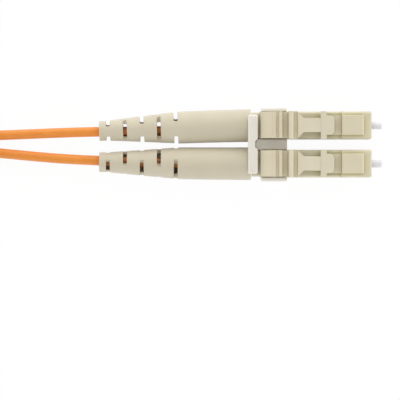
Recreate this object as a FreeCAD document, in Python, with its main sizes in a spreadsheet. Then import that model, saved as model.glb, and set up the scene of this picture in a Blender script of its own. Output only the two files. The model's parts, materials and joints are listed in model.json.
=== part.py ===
import FreeCAD, Part
import math
import os
from types import SimpleNamespace

import Sketcher

# A duplex LC fibre connector: two plugs side by side in a clip, each with its boot and its leg of cord.
# Millimetres. The clip's underside is on z = 0 and the origin is its centre. +X points out of the
# ferrules, +Y to plug a and +Z to the latches. A piece of a plug is drawn in the plug's own frame,
# whose origin is on the fibre's axis in the housing's front face, so everything in it has x below 0.

MEASURES = [
    ("pitch", 6.25, "between the two fibre axes"),
    ("axisHigh", 2.75, "fibre axis above the clip's underside"),
    ("housingWide", 4.5, "plug housing, both ways"),
    ("housingLong", 13.6, ""),
    ("cornerRound", 0.4, "long outer edges of the housing and the rear body"),
    ("noseRound", 0.3, "edges of the front face"),
    ("stepAt", 4.9, "behind it the top is lowered under the latch arm"),
    ("stepHigh", 1.7, "lowered top above the axis"),
    ("rootAt", 1.3, "front end of the latch's root block"),
    ("rootWide", 3.25, ""),
    ("rootHigh", 0.72, "root block above the housing's top"),
    ("rootBevel", 0.24, ""),
    ("recessRadius", 1.5, "open recess round the ferrule"),
    ("recessDeep", 4.6, ""),
    ("partitionThick", 0.8, "wall that the flange rests against"),
    ("cavityRadius", 1.4, "room for the flange and its spring"),
    ("windowBack", 2.2, "middle of the snap windows from the housing's rear end"),
    ("windowWide", 1.4, ""),
    ("slip", 0.02, "gap between pieces that are pushed together"),
    ("play", 0.05, "gap round pieces that move"),
    ("pivotAt", 5.0, "latch's bending line behind the front face"),
    ("pivotHigh", 1.93, "and above the axis"),
    ("knuckleRadius", 0.22, "rounded front end of the latch arm"),
    ("flexThick", 0.26, "thin part of the arm that bends"),
    ("flexEnd", 6.05, ""),
    ("shoulderAt", 8.35, "latching faces behind the front face"),
    ("shoulderHigh", 3.0, ""),
    ("shoulderLong", 1.0, ""),
    ("padWide", 3.2, "arm in front of the shoulders"),
    ("panelDrop", 0.08, "waist below the shoulders"),
    ("waistWide", 2.3, ""),
    ("waistTail", 2.5, "rear end of the waist from the housing's rear end"),
    ("flareTail", 1.4, "where the arm is as wide as the housing again"),
    ("lipHigh", 4.45, "top of the latch's tail"),
    ("lipLong", 0.62, "its flat top"),
    ("tongueLong", 1.45, "behind the housing, under the trigger"),
    ("tongueLow", 3.42, ""),
    ("tongueThick", 0.34, ""),
    ("tongueInset", 0.05, "tongue narrower than the rear body, each side"),
    ("ferruleRadius", 0.6245, "standard 1.25 mm ferrule"),
    ("ferruleLong", 6.5, ""),
    ("ferruleOut", 1.8, "ferrule's tip in front of the housing"),
    ("tipBevel", 0.15, ""),
    ("seatTaper", 0.03, "loss of radius along the ferrule's seat in the flange"),
    ("fibreRadius", 0.0625, ""),
    ("bufferRadius", 0.45, "900 micrometre buffer"),
    ("flangeAt", 3.4, "front end of the flange's nose"),
    ("flangeNoseRadius", 0.9, ""),
    ("hexAcross", 2.3, "flange across its flats"),
    ("hexLong", 1.6, ""),
    ("flangeTailRadius", 0.72, ""),
    ("flangeTailLong", 1.9, ""),
    ("wireRadius", 0.14, "spring wire"),
    ("springTurns", 4.0, ""),
    ("shankLong", 3.2, "rear body inside the housing, to the spring's seat"),
    ("blockWide", 4.3, "rear body between the clip's walls"),
    ("blockHigh", 2.2, "its top above the axis"),
    ("blockLong", 4.6, ""),
    ("neckInset", 0.05, "neck under the yoke narrower than the block, each side"),
    ("neckHigh", 1.6, ""),
    ("neckLong", 1.3, ""),
    ("grooveLong", 0.9, "side grooves that the clip's ribs snap into"),
    ("grooveDeep", 0.25, ""),
    ("grooveHigh", 0.7, "ribs above the axis"),
    ("tubeRadius", 1.1, "crimp tube"),
    ("tubeBore", 0.53, ""),
    ("tubeLong", 4.8, ""),
    ("triggerBack", 4.15, "trigger's bending line from the housing's rear end"),
    ("triggerPivotHigh", 2.7, ""),
    ("triggerKnuckle", 0.42, ""),
    ("noseBack", 1.04, "trigger's front end from the housing's rear end"),
    ("crestHigh", 4.55, "front ridge of the trigger"),
    ("ridgeWide", 0.5, ""),
    ("ridgePitch", 1.04, ""),
    ("ridgeDeep", 0.46, "groove between the ridges"),
    ("yarnThick", 0.18, ""),
    ("sleeveThick", 0.28, ""),
    ("sleeveLong", 5.2, ""),
    ("bootLong", 24.85, ""),
    ("bootRadius", 2.68, "front end"),
    ("bootTailRadius", 1.62, ""),
    ("bootStraight", 11.6, "length before the taper"),
    ("bootCollar", 1.1, "unslotted tail"),
    ("bootFit", 0.25, "between the crimp sleeve and the boot"),
    ("bootRoom", 1.85, "radius of the room round the cord, front"),
    ("bootRoomTail", 1.25, ""),
    ("bootGap", 0.14, "between the rear body and the boot"),
    ("slotWide", 0.64, ""),
    ("slotPitch", 2.775, ""),
    ("slotFirst", 12.3, "nearest slot to the boot's front end"),
    ("slotDepthShare", 0.47, "slot floor over the boot's radius there"),
    ("cordRadius", 0.8, ""),
    ("bootLeanA", 2.1, "degrees, towards the other boot"),
    ("bootLeanB", 0.6, ""),
    ("bootRollA", 7.0, "degrees about its own axis"),
    ("bootRollB", -42.0, ""),
    ("clipLong", 4.25, ""),
    ("clipFloor", 0.5, ""),
    ("clipGap", 0.08, "between the clip's walls and the rear bodies"),
    ("clipWall", 0.7, ""),
    ("clipWallRound", 0.3, "top edges of the outer walls"),
    ("clipWallHigh", 4.3, "outer walls above the clip's underside"),
    ("webHigh", 4.4, ""),
    ("webRear", 0.4, "web behind the clip's walls"),
    ("tailWide", 2.6, "strip of the clip's floor under the yoke"),
    ("tailLong", 1.9, ""),
    ("yokeGap", 0.36, "between the yoke and the rear bodies' blocks"),
    ("yokeLong", 1.62, ""),
    ("yokeWall", 0.9, "part of it that goes down to the necks"),
    ("yokeWide", 9.7, ""),
    ("yokeHigh", 6.2, "its top above the clip's underside"),
    ("yokeFlange", 0.55, ""),
    ("yokeRound", 0.45, "top edges"),
    ("yokeWaist", 1.8, "between its two lobes"),
    ("yokeNotch", 0.5, ""),
    ("notchFit", 0.09, "between the yoke's notch and the web's tongue in it"),
    ("yokeStem", 1.3, "stem that goes down between the plugs"),
    ("hankMiddle", 73.7, "middle of the hank behind the clip's middle"),
    ("hankRun", 32.0, "between the centres of its end loops"),
    ("hankLoop", 7.2, "radius of its end loops, outside"),
    ("hankWaist", 3.2, "half its width under the tie"),
    ("hankHigh", 8.0, ""),
    ("tieLong", 5.0, ""),
    ("tieThick", 0.5, ""),
]


class Size:
    """A measure that carries its value and the expression that gives it in the document."""

    def __init__(self, value, text):
        self.value = value
        self.text = text

    def __add__(self, other):
        other = as_size(other)
        return Size(self.value + other.value, f"({self.text} + {other.text})")

    def __sub__(self, other):
        other = as_size(other)
        return Size(self.value - other.value, f"({self.text} - {other.text})")

    def __mul__(self, other):
        other = as_size(other)
        return Size(self.value * other.value, f"({self.text} * {other.text})")

    def __truediv__(self, other):
        other = as_size(other)
        return Size(self.value / other.value, f"({self.text} / {other.text})")

    def __neg__(self):
        return Size(-self.value, f"(0 - {self.text})")

    __radd__ = __add__
    __rmul__ = __mul__

    def __rsub__(self, other):
        return as_size(other) - self


def as_size(number):
    return number if isinstance(number, Size) else Size(float(number), repr(float(number)))


doc = FreeCAD.newDocument("lc_connector")
sheet = doc.addObject("Spreadsheet::Sheet", "sizes")
for row, (alias, amount, note) in enumerate(MEASURES, 1):
    sheet.set(f"A{row}", note)
    sheet.set(f"B{row}", str(amount))
    sheet.setAlias(f"B{row}", alias)
doc.recompute()
s = SimpleNamespace(**{alias: Size(amount, f"sizes.{alias}") for alias, amount, note in MEASURES})

# Places behind the front face that follow the length of the housing and of the rear body.
s.clipMiddle = s.housingLong + s.blockLong / 2
s.yokeAt = s.blockLong / 2 + s.yokeGap
s.windowAt = s.housingLong - s.windowBack
s.seatAt = s.housingLong - s.shankLong
s.waistEnd = s.housingLong - s.waistTail
s.flareEnd = s.housingLong - s.flareTail
s.lipEnd = s.housingLong + s.slip
s.tongueEnd = s.housingLong + s.tongueLong
s.triggerPivotAt = s.housingLong + s.triggerBack
s.noseAt = s.housingLong + s.noseBack
# Sizes that follow the pieces they fit.
s.neckWide = s.blockWide - 2 * s.neckInset
s.noseLow = s.tongueLow + s.tongueThick + 3 * s.play
s.sleeveBore = s.tubeRadius + 2 * s.slip + s.yarnThick
s.bootBore = s.sleeveBore + s.sleeveThick + s.bootFit


# ---- helpers -------------------------------------------------------------------------------------


def set_size(item, name, size):
    """Gives a property its value and binds it to the sheet."""
    size = as_size(size)
    if "." not in name:
        setattr(item, name, size.value)
    item.setExpression(name, size.text)


def put(item, x=0, y=0, z=0, axis=None, angle=0):
    """Places an item, turned about axis by angle degrees, with its base bound to the sheet."""
    base = [as_size(v) for v in (x, y, z)]
    turn = as_size(angle)
    rotation = FreeCAD.Rotation(FreeCAD.Vector(*(axis or (0, 0, 1))), turn.value)
    item.Placement = FreeCAD.Placement(FreeCAD.Vector(*(v.value for v in base)), rotation)
    for name, size in zip("xyz", base):
        item.setExpression(f"Placement.Base.{name}", size.text)
    if isinstance(angle, Size):
        item.setExpression("Placement.Rotation.Angle", turn.text)
    return item


def box(name, x, y, z):
    """A block between two corners, each axis given as (low, high)."""
    item = doc.addObject("Part::Box", name)
    for prop, (low, high) in zip(("Length", "Width", "Height"), (x, y, z)):
        set_size(item, prop, as_size(high) - low)
    return put(item, x[0], y[0], z[0])


def rod(name, radius, start, end, y=0, z=0):
    """A cylinder along X between two x positions, start below end."""
    item = doc.addObject("Part::Cylinder", name)
    set_size(item, "Radius", radius)
    set_size(item, "Height", as_size(end) - start)
    return put(item, start, y, z, (0, 1, 0), 90)


def cut(name, base, *tools):
    for number, tool in enumerate(tools):
        item = doc.addObject("Part::Cut", f"{name}_cut{number}")
        item.Base, item.Tool = base, tool
        base = item
    return base


def fuse(name, *parts):
    item = doc.addObject("Part::MultiFuse", f"{name}_joined")
    item.Shapes = list(parts)
    return item


def body(label):
    return doc.addObject("PartDesign::Body", f"{label}_body")


def sketch(owner, plane, name, offset=0):
    """A sketch on one of the body's own planes, moved along the plane's normal by offset."""
    made = owner.newObject("Sketcher::SketchObject", f"{owner.Name}_{name}")
    face = next(f for f in owner.Origin.OriginFeatures if f.Role == f"{plane}_Plane")
    made.AttachmentSupport = (face, [""])
    made.MapMode = "FlatFace"
    if isinstance(offset, Size):
        made.AttachmentOffset = FreeCAD.Placement(FreeCAD.Vector(0, 0, offset.value), FreeCAD.Rotation())
        made.setExpression("AttachmentOffset.Base.z", offset.text)
    return made


def hold(drawing, geometry, point, x, y):
    """Fixes a point of a sketch by its two distances from the sketch's origin."""
    for size, kind, axis in ((as_size(x), "DistanceX", -2), (as_size(y), "DistanceY", -1)):
        if size.value == 0:
            drawing.addConstraint(Sketcher.Constraint("PointOnObject", geometry, point, axis))
            continue
        rule = Sketcher.Constraint(kind, -1, 1, geometry, point, size.value)
        number = drawing.addConstraint(rule)
        drawing.setExpression(f"Constraints[{number}]", size.text)


def outline(drawing, points):
    """A closed ring of straight lines through points, each of them held by its own two sizes."""
    first = drawing.GeometryCount
    points = [(as_size(x), as_size(y)) for x, y in points]
    corners = [FreeCAD.Vector(x.value, y.value, 0) for x, y in points]
    for here, there in zip(corners, corners[1:] + corners[:1]):
        drawing.addGeometry(Part.LineSegment(here, there))
    for number, (x, y) in enumerate(points):
        before = first + (number - 1) % len(points)
        drawing.addConstraint(Sketcher.Constraint("Coincident", before, 2, first + number, 1))
        hold(drawing, first + number, 1, x, y)
    return drawing


def circle(drawing, x, y, radius):
    x, y, radius = as_size(x), as_size(y), as_size(radius)
    centre = FreeCAD.Vector(x.value, y.value, 0)
    item = drawing.addGeometry(Part.Circle(centre, FreeCAD.Vector(0, 0, 1), radius.value))
    hold(drawing, item, 3, x, y)
    number = drawing.addConstraint(Sketcher.Constraint("Radius", item, radius.value))
    drawing.setExpression(f"Constraints[{number}]", radius.text)
    return drawing


def pad(owner, drawing, name, length, side="Symmetric", reverse=False):
    item = owner.newObject("PartDesign::Pad", f"{owner.Name}_{name}")
    item.Profile = (drawing, [""])
    item.SideType = side
    item.Reversed = reverse
    set_size(item, "Length", length)
    return item


def pocket(owner, drawing, name, length, side="Symmetric", reverse=False):
    item = owner.newObject("PartDesign::Pocket", f"{owner.Name}_{name}")
    item.Profile = (drawing, [""])
    item.SideType = side
    item.Reversed = reverse
    set_size(item, "Length", length)
    return item


def revolve(owner, drawing, name):
    """Turns a profile drawn on the XZ plane about the X axis."""
    item = owner.newObject("PartDesign::Revolution", f"{owner.Name}_{name}")
    item.Profile = (drawing, [""])
    item.ReferenceAxis = (drawing, ["H_Axis"])
    item.Angle = 360
    return item


def groove(owner, drawing, name):
    """Takes away what a profile drawn on the XZ plane sweeps about the X axis."""
    item = owner.newObject("PartDesign::Groove", f"{owner.Name}_{name}")
    item.Profile = (drawing, [""])
    item.ReferenceAxis = (drawing, ["H_Axis"])
    item.Angle = 360
    return item


def soften(owner, kind, name, size, chosen):
    """A fillet or chamfer on those edges of the body for which chosen is true."""
    doc.recompute()
    base = owner.Tip
    edges = [f"Edge{n}" for n, edge in enumerate(base.Shape.Edges, 1) if chosen(edge)]
    item = owner.newObject(f"PartDesign::{kind}", f"{owner.Name}_{name}")
    item.Base = (base, edges)
    set_size(item, "Radius" if kind == "Fillet" else "Size", size)
    return item


def runs_along(edge, axis):
    """True for a straight edge along the X (0), Y (1) or Z (2) axis."""
    if edge.Curve.TypeId != "Part::GeomLine":
        return False
    return abs(abs(edge.tangentAt(edge.FirstParameter)[axis]) - 1) < 1e-6


def middle(edge):
    return edge.BoundBox.Center


# ---- pieces of one plug, in the plug's own frame --------------------------------------------------


def plug_housing(tag):
    """Square housing: recess round the ferrule, wall, spring cavity, lowered top and root block."""
    half = s.housingWide / 2
    owner = body(f"plug_housing_{tag}")
    side = outline(
        sketch(owner, "XZ", "side"),
        [
            (0, -half),
            (0, half),
            (-s.stepAt, half),
            (-s.stepAt, s.stepHigh),
            (-s.housingLong, s.stepHigh),
            (-s.housingLong, -half),
        ],
    )
    pad(owner, side, "block", s.housingWide)
    soften(
        owner,
        "Fillet",
        "long_edges",
        s.cornerRound,
        lambda e: runs_along(e, 0) and abs(middle(e).y) > half.value - 0.01,
    )
    soften(
        owner,
        "Fillet",
        "nose_edges",
        s.noseRound,
        lambda e: e.BoundBox.XLength < 0.001 and middle(e).x > -0.001,
    )
    top = half + s.rootHigh
    root = outline(
        sketch(owner, "XZ", "root_side"),
        [
            (-s.rootAt, half - s.rootBevel),
            (-s.rootAt, top - s.rootBevel),
            (-s.rootAt - s.rootBevel, top),
            (-s.stepAt + s.rootBevel, top),
            (-s.stepAt, top - s.rootBevel),
            (-s.stepAt, half - s.rootBevel),
        ],
    )
    pad(owner, root, "root", s.rootWide)
    soften(
        owner,
        "Fillet",
        "root_edges",
        s.rootBevel * 0.6,
        lambda e: runs_along(e, 0) and middle(e).z > top.value - 0.01,
    )
    recess = circle(sketch(owner, "YZ", "recess_ring"), 0, 0, s.recessRadius)
    pocket(owner, recess, "recess", s.recessDeep, "One side")
    cavity_at = s.recessDeep + s.partitionThick
    hole = circle(sketch(owner, "YZ", "hole_ring"), 0, 0, s.flangeNoseRadius + s.play)
    pocket(owner, hole, "hole", cavity_at + 1, "One side")
    cavity = circle(sketch(owner, "YZ", "cavity_ring", -cavity_at), 0, 0, s.cavityRadius)
    pocket(owner, cavity, "cavity", s.housingLong, "One side")
    window = outline(
        sketch(owner, "XZ", "window_ring"),
        [
            (-s.windowAt - s.windowWide / 2, -s.windowWide / 2),
            (-s.windowAt + s.windowWide / 2, -s.windowWide / 2),
            (-s.windowAt + s.windowWide / 2, s.windowWide / 2),
            (-s.windowAt - s.windowWide / 2, s.windowWide / 2),
        ],
    )
    pocket(owner, window, "windows", s.housingWide * 1.2)
    seat = circle(sketch(owner, "XZ", "seat_ring"), -s.pivotAt, s.pivotHigh, s.knuckleRadius + s.play)
    pocket(owner, seat, "latch_seat", s.housingWide * 1.2)
    return owner


def latch(tag):
    """Latch arm: thin bending end, ramped pad, shoulders, waist, flared tail and tongue."""
    owner = body(f"latch_{tag}")
    under = s.stepHigh + 2 * s.play
    tongue_top = s.tongueLow + s.tongueThick
    panel = s.shoulderHigh - s.panelDrop
    side = outline(
        sketch(owner, "XZ", "side"),
        [
            (-s.pivotAt, under),
            (-s.pivotAt, under + s.flexThick),
            (-s.flexEnd, under + s.flexThick + 0.06),
            (-s.flexEnd - 0.08, s.shoulderHigh - 0.22),
            (-s.shoulderAt + s.shoulderLong, s.shoulderHigh - 0.05),
            (-s.shoulderAt + 0.12, s.shoulderHigh),
            (-s.shoulderAt, panel),
            (-s.waistEnd, s.shoulderHigh + 0.45),
            (-s.flareEnd + 0.15, s.shoulderHigh + 0.64),
            (-s.flareEnd - 0.05, s.shoulderHigh + 0.44),
            (-s.lipEnd + s.lipLong + 0.3, s.shoulderHigh + 0.44),
            (-s.lipEnd + s.lipLong + 0.05, s.lipHigh - 0.12),
            (-s.lipEnd + s.lipLong - 0.08, s.lipHigh),
            (-s.lipEnd + 0.12, s.lipHigh),
            (-s.lipEnd, s.lipHigh - 0.15),
            (-s.lipEnd, tongue_top),
            (-s.tongueEnd, tongue_top),
            (-s.tongueEnd, s.tongueLow + 0.14),
            (-s.tongueEnd + 1, s.tongueLow),
            (-s.lipEnd + 0.2, s.tongueLow),
            (-s.flareEnd, s.shoulderHigh),
            (-s.waistEnd, s.shoulderHigh - 0.2),
            (-s.shoulderAt, s.shoulderHigh - 0.65),
            (-s.flexEnd, under + 0.06),
        ],
    )
    pad(owner, side, "arm", s.housingWide)
    knuckle = circle(sketch(owner, "XZ", "knuckle_ring"), -s.pivotAt, s.pivotHigh, s.knuckleRadius)
    pad(owner, knuckle, "knuckle", s.padWide)
    for name, way in (("left", 1), ("right", -1)):
        edge = s.housingWide * way
        pad_edge = s.padWide / 2 * way
        waist_edge = s.waistWide / 2 * way
        full_edge = (s.housingWide / 2) * way
        tongue_edge = (s.blockWide / 2 - s.tongueInset) * way
        front = outline(
            sketch(owner, "XY", f"{name}_front"),
            [
                (-s.pivotAt + 1, edge),
                (-s.pivotAt + 1, pad_edge),
                (-s.shoulderAt + s.shoulderLong, pad_edge),
                (-s.shoulderAt + s.shoulderLong, edge),
            ],
        )
        pocket(owner, front, f"{name}_front_cut", 20)
        waist = outline(
            sketch(owner, "XY", f"{name}_waist"),
            [
                (-s.shoulderAt, edge),
                (-s.shoulderAt, waist_edge),
                (-s.waistEnd, waist_edge),
                (-s.flareEnd, full_edge - 0.02 * way),
                (-s.flareEnd, edge),
            ],
        )
        pocket(owner, waist, f"{name}_waist_cut", 20)
        tongue = outline(
            sketch(owner, "XY", f"{name}_tongue"),
            [
                (-s.lipEnd, edge),
                (-s.lipEnd, tongue_edge),
                (-s.tongueEnd - 1, tongue_edge),
                (-s.tongueEnd - 1, edge),
            ],
        )
        pocket(owner, tongue, f"{name}_tongue_cut", 20)
    soften(
        owner,
        "Fillet",
        "pad_corners",
        as_size(0.75),
        lambda e: abs(middle(e).x + s.flexEnd.value + 0.04) < 0.06
        and abs(middle(e).y) > s.padWide.value / 2 - 0.01,
    )
    return owner


def ferrule(tag):
    """Ceramic ferrule: bevelled tip, bore for the bare fibre, tapered end pressed into the flange."""
    owner = body(f"ferrule_{tag}")
    rear = s.ferruleOut - s.ferruleLong
    bore = s.fibreRadius + 0.005
    profile = outline(
        sketch(owner, "XZ", "profile"),
        [
            (s.ferruleOut, bore),
            (s.ferruleOut, s.ferruleRadius - s.tipBevel),
            (s.ferruleOut - s.tipBevel, s.ferruleRadius),
            (-s.flangeAt, s.ferruleRadius),
            (rear, s.ferruleRadius - s.seatTaper),
            (rear, bore),
        ],
    )
    revolve(owner, profile, "turn")
    return owner


def glass_fibre(tag):
    owner = body(f"glass_fibre_{tag}")
    ring = circle(sketch(owner, "YZ", "ring", s.ferruleOut), 0, 0, s.fibreRadius)
    pad(owner, ring, "strand", s.ferruleLong, "One side", True)
    return owner


def ferrule_flange(tag):
    """Flange: nose tube round the ferrule, hexagon that rests on the wall, tail tube in the spring."""
    owner = body(f"ferrule_flange_{tag}")
    hex_front = s.recessDeep + s.partitionThick + s.slip
    nose = circle(sketch(owner, "YZ", "nose_ring", -s.flangeAt), 0, 0, s.flangeNoseRadius)
    pad(owner, nose, "nose", hex_front - s.flangeAt, "One side", True)
    reach = s.hexAcross / math.sqrt(3)
    corners = [
        (reach * math.cos(math.radians(60 * n)), reach * math.sin(math.radians(60 * n))) for n in range(6)
    ]
    hexagon = outline(sketch(owner, "YZ", "hex_ring", -hex_front), corners)
    pad(owner, hexagon, "hexagon", s.hexLong, "One side", True)
    tail_at = hex_front + s.hexLong
    tail = circle(sketch(owner, "YZ", "tail_ring", -tail_at), 0, 0, s.flangeTailRadius)
    pad(owner, tail, "tail", s.flangeTailLong, "One side", True)
    seat_end = s.ferruleLong - s.ferruleOut
    tail_end = tail_at + s.flangeTailLong
    bore = outline(
        sketch(owner, "XZ", "bore_profile"),
        [
            (-s.flangeAt, 0),
            (-s.flangeAt, s.ferruleRadius),
            (-seat_end, s.ferruleRadius - s.seatTaper),
            (-seat_end, s.bufferRadius),
            (-tail_end, s.bufferRadius),
            (-tail_end, 0),
        ],
    )
    groove(owner, bore, "bore")
    return owner


def fibre_buffer(tag):
    """Tight buffer, from inside the flange to just short of the cord's own jacket."""
    owner = body(f"fibre_buffer_{tag}")
    front = s.ferruleLong - s.ferruleOut + s.slip
    ring = circle(sketch(owner, "YZ", "ring", -front), 0, 0, s.bufferRadius)
    pad(owner, ring, "strand", tube_end() - front, "One side", True)
    return owner


def tube_end():
    """Rear end of the crimp tube behind the front face."""
    return s.housingLong + s.blockLong + s.neckLong + s.tubeLong


def ferrule_spring(tag):
    """Coil spring between the flange's hexagon and the rear body, of wire with four flats."""
    front = s.recessDeep + s.partitionThick + s.slip + s.hexLong
    coil_radius = (s.flangeTailRadius + s.cavityRadius) / 2
    length = s.seatAt - front - 2 * s.wireRadius - 2 * s.slip
    helix = doc.addObject("Part::Helix", f"ferrule_spring_{tag}_helix")
    set_size(helix, "Pitch", length / s.springTurns)
    set_size(helix, "Height", length)
    set_size(helix, "Radius", coil_radius)
    wire = doc.addObject("Part::RegularPolygon", f"ferrule_spring_{tag}_wire")
    wire.Polygon = 4
    set_size(wire, "Circumradius", s.wireRadius)
    put(wire, coil_radius, 0, 0, (1, 0, 0), 90)
    coil = doc.addObject("Part::Sweep", f"ferrule_spring_{tag}_coil")
    coil.Sections = [wire]
    coil.Spine = (helix, [])
    coil.Solid = True
    coil.Frenet = True
    return coil


def rear_body(tag):
    """Backbone: snap end in the housing, block in the clip, neck under the yoke, crimp tube."""
    name = f"rear_body_{tag}"
    owner = body(name)
    block_at = s.housingLong + s.slip
    block_end = s.housingLong + s.blockLong
    boss = s.triggerPivotAt - 0.3
    neck = outline(
        sketch(owner, "XZ", "neck_side"),
        [
            (-block_end + 0.1, -s.neckWide / 2),
            (-block_end + 0.1, s.neckHigh),
            (-block_end - s.neckLong, s.neckHigh),
            (-block_end - s.neckLong, -s.neckWide / 2),
        ],
    )
    pad(owner, neck, "neck", s.neckWide)
    soften(owner, "Fillet", "neck_edges", s.cornerRound, lambda e: runs_along(e, 0))
    block = outline(
        sketch(owner, "XZ", "block_side"),
        [
            (-block_at, -s.blockHigh),
            (-block_at, s.blockHigh),
            (-boss, s.blockHigh),
            (-boss, s.triggerPivotHigh),
            (-block_end, s.triggerPivotHigh),
            (-block_end, -s.blockHigh),
        ],
    )
    pad(owner, block, "block", s.blockWide)
    soften(
        owner,
        "Fillet",
        "long_edges",
        s.cornerRound,
        lambda e: runs_along(e, 0) and middle(e).z < 0 and middle(e).x > -block_end.value,
    )
    shank_radius = s.cavityRadius - s.slip
    shank = circle(sketch(owner, "YZ", "shank_ring", -s.seatAt), 0, 0, shank_radius)
    pad(owner, shank, "shank", s.housingLong - s.seatAt + 0.5, "One side", True)
    barb_half = s.windowWide / 2 - s.play
    barb = outline(
        sketch(owner, "XY", "barb_plan"),
        [
            (-s.windowAt + barb_half, s.cavityRadius - 0.1),
            (-s.windowAt - barb_half, s.cavityRadius + 0.45),
            (-s.windowAt - barb_half, -s.cavityRadius - 0.45),
            (-s.windowAt + barb_half, -s.cavityRadius + 0.1),
        ],
    )
    pad(owner, barb, "barbs", s.windowWide - 2 * s.play)
    tube = circle(sketch(owner, "YZ", "tube_ring", -block_end), 0, 0, s.tubeRadius)
    pad(owner, tube, "tube", s.neckLong + s.tubeLong, "One side", True)
    bore = circle(sketch(owner, "YZ", "bore_ring"), 0, 0, s.tubeBore)
    pocket(owner, bore, "bore", 40, "One side")
    seat = circle(
        sketch(owner, "XZ", "seat_ring"), -s.triggerPivotAt, s.triggerPivotHigh, s.triggerKnuckle + s.play
    )
    pocket(owner, seat, "trigger_seat", s.housingWide * 1.2)
    low, high = s.grooveHigh - 0.35, s.grooveHigh + 0.35
    for groove_name, way in (("left", 1), ("right", -1)):
        outer = s.blockWide * way
        floor = (s.blockWide / 2 - s.grooveDeep) * way
        groove = outline(
            sketch(owner, "YZ", f"{groove_name}_groove_end", -s.clipMiddle),
            [(outer, low), (floor, low), (floor, high), (outer, high)],
        )
        pocket(owner, groove, f"{groove_name}_groove", s.grooveLong + 2 * s.clipGap)
    return owner


def trigger(tag):
    """Finger lever: knuckle at the rear, rising back with two ridges, nose over the latch's tongue."""
    owner = body(f"trigger_{tag}")
    crest = s.crestHigh
    back_high = s.triggerPivotHigh + s.triggerKnuckle
    side = outline(
        sketch(owner, "XZ", "side"),
        [
            (-s.triggerPivotAt, back_high),
            (-s.triggerPivotAt, s.triggerPivotHigh - 0.1),
            (-s.triggerPivotAt + 0.35, s.triggerPivotHigh - 0.05),
            (-s.noseAt - 0.75, s.noseLow - 0.45),
            (-s.noseAt - 0.6, s.noseLow),
            (-s.noseAt - 0.2, s.noseLow),
            (-s.noseAt, s.noseLow + 0.16),
            (-s.noseAt, crest - 0.14),
            (-s.noseAt - 0.12, crest),
            (-s.noseAt - s.ridgeWide + 0.12, crest),
            (-s.noseAt - s.ridgeWide, crest - 0.12),
            (-s.noseAt - s.ridgeWide - 0.06, crest - s.ridgeDeep),
            (-s.noseAt - s.ridgePitch + 0.06, crest - s.ridgeDeep),
            (-s.noseAt - s.ridgePitch, crest - 0.22),
            (-s.noseAt - s.ridgePitch - 0.12, crest - 0.1),
            (-s.noseAt - s.ridgePitch - s.ridgeWide + 0.1, crest - 0.12),
            (-s.noseAt - s.ridgePitch - s.ridgeWide, crest - 0.28),
        ],
    )
    pad(owner, side, "lever", s.blockWide)
    knuckle = circle(
        sketch(owner, "XZ", "knuckle_ring"), -s.triggerPivotAt, s.triggerPivotHigh, s.triggerKnuckle
    )
    pad(owner, knuckle, "knuckle", s.blockWide)
    soften(
        owner,
        "Fillet",
        "side_edges",
        as_size(0.12),
        lambda e: abs(middle(e).y) > s.blockWide.value / 2 - 0.01
        and e.BoundBox.YLength < 0.001
        and middle(e).z > s.triggerPivotHigh.value + 0.5
        and e.Curve.TypeId == "Part::GeomLine"
        and middle(e).x < -s.noseAt.value - s.ridgePitch.value - s.ridgeWide.value,
    )
    return owner


def strength_yarn(tag):
    """Aramid yarn folded back over the crimp tube, as one thin sleeve."""
    start = tube_end() - s.tubeLong + s.slip
    name = f"strength_yarn_{tag}"
    outer = rod(f"{name}_outer", s.tubeRadius + s.slip + s.yarnThick, -tube_end(), -start)
    inner = rod(f"{name}_inner", s.tubeRadius + s.slip, -tube_end() - 1, -start + 1)
    return cut(name, outer, inner)


def crimp_sleeve(tag):
    """Metal sleeve crimped over the yarn, a little longer than the tube under it."""
    name = f"crimp_sleeve_{tag}"
    start = tube_end() - s.tubeLong + s.slip
    outer = rod(f"{name}_outer", s.sleeveBore + s.sleeveThick, -start - s.sleeveLong, -start)
    inner = rod(f"{name}_inner", s.sleeveBore, -start - s.sleeveLong - 1, -start + 1)
    return cut(name, outer, inner)


def boot_radius(behind):
    """Outside radius of the boot at a distance behind its front end."""
    taper = s.bootLong - s.bootCollar - s.bootStraight
    return s.bootRadius - 0.06 - (s.bootRadius - 0.06 - s.bootTailRadius) / taper * (behind - s.bootStraight)


def boot(tag):
    """Tapered sleeve with five pairs of cross slots, each pair a quarter turn from the last."""
    name = f"boot_{tag}"
    owner = body(name)
    tail_bore = s.cordRadius + s.play
    profile = outline(
        sketch(owner, "XZ", "profile"),
        [
            (0, s.bootBore),
            (0, s.bootRadius),
            (-s.bootStraight, s.bootRadius - 0.06),
            (-s.bootLong + s.bootCollar, s.bootTailRadius),
            (-s.bootLong, s.bootTailRadius),
            (-s.bootLong, tail_bore),
            (-s.bootLong + s.bootCollar, tail_bore),
            (-s.bootLong + s.bootCollar, s.bootRoomTail),
            (-s.bootStraight * 0.7, s.bootRoom),
            (-s.bootStraight * 0.6, s.bootBore),
        ],
    )
    revolve(owner, profile, "turn")
    slots = []
    for number in range(5):
        behind = s.slotFirst + number * s.slotPitch
        floor = boot_radius(behind) * s.slotDepthShare
        reach = s.bootRadius + 1
        across = (floor, reach) if number % 2 == 0 else (-reach, reach)
        above = (-reach, reach) if number % 2 == 0 else (floor, reach)
        span = (-behind - s.slotWide / 2, -behind + s.slotWide / 2)
        slots.append(box(f"{name}_slot{number}p", span, across, above))
        if number % 2 == 0:
            slots.append(box(f"{name}_slot{number}m", span, (-reach, -floor), above))
        else:
            slots.append(box(f"{name}_slot{number}m", span, across, (-reach, -floor)))
    return cut(name, owner, fuse(f"{name}_slots", *slots))


# ---- pieces that hold both plugs, in the part's frame ----------------------------------------------


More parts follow.
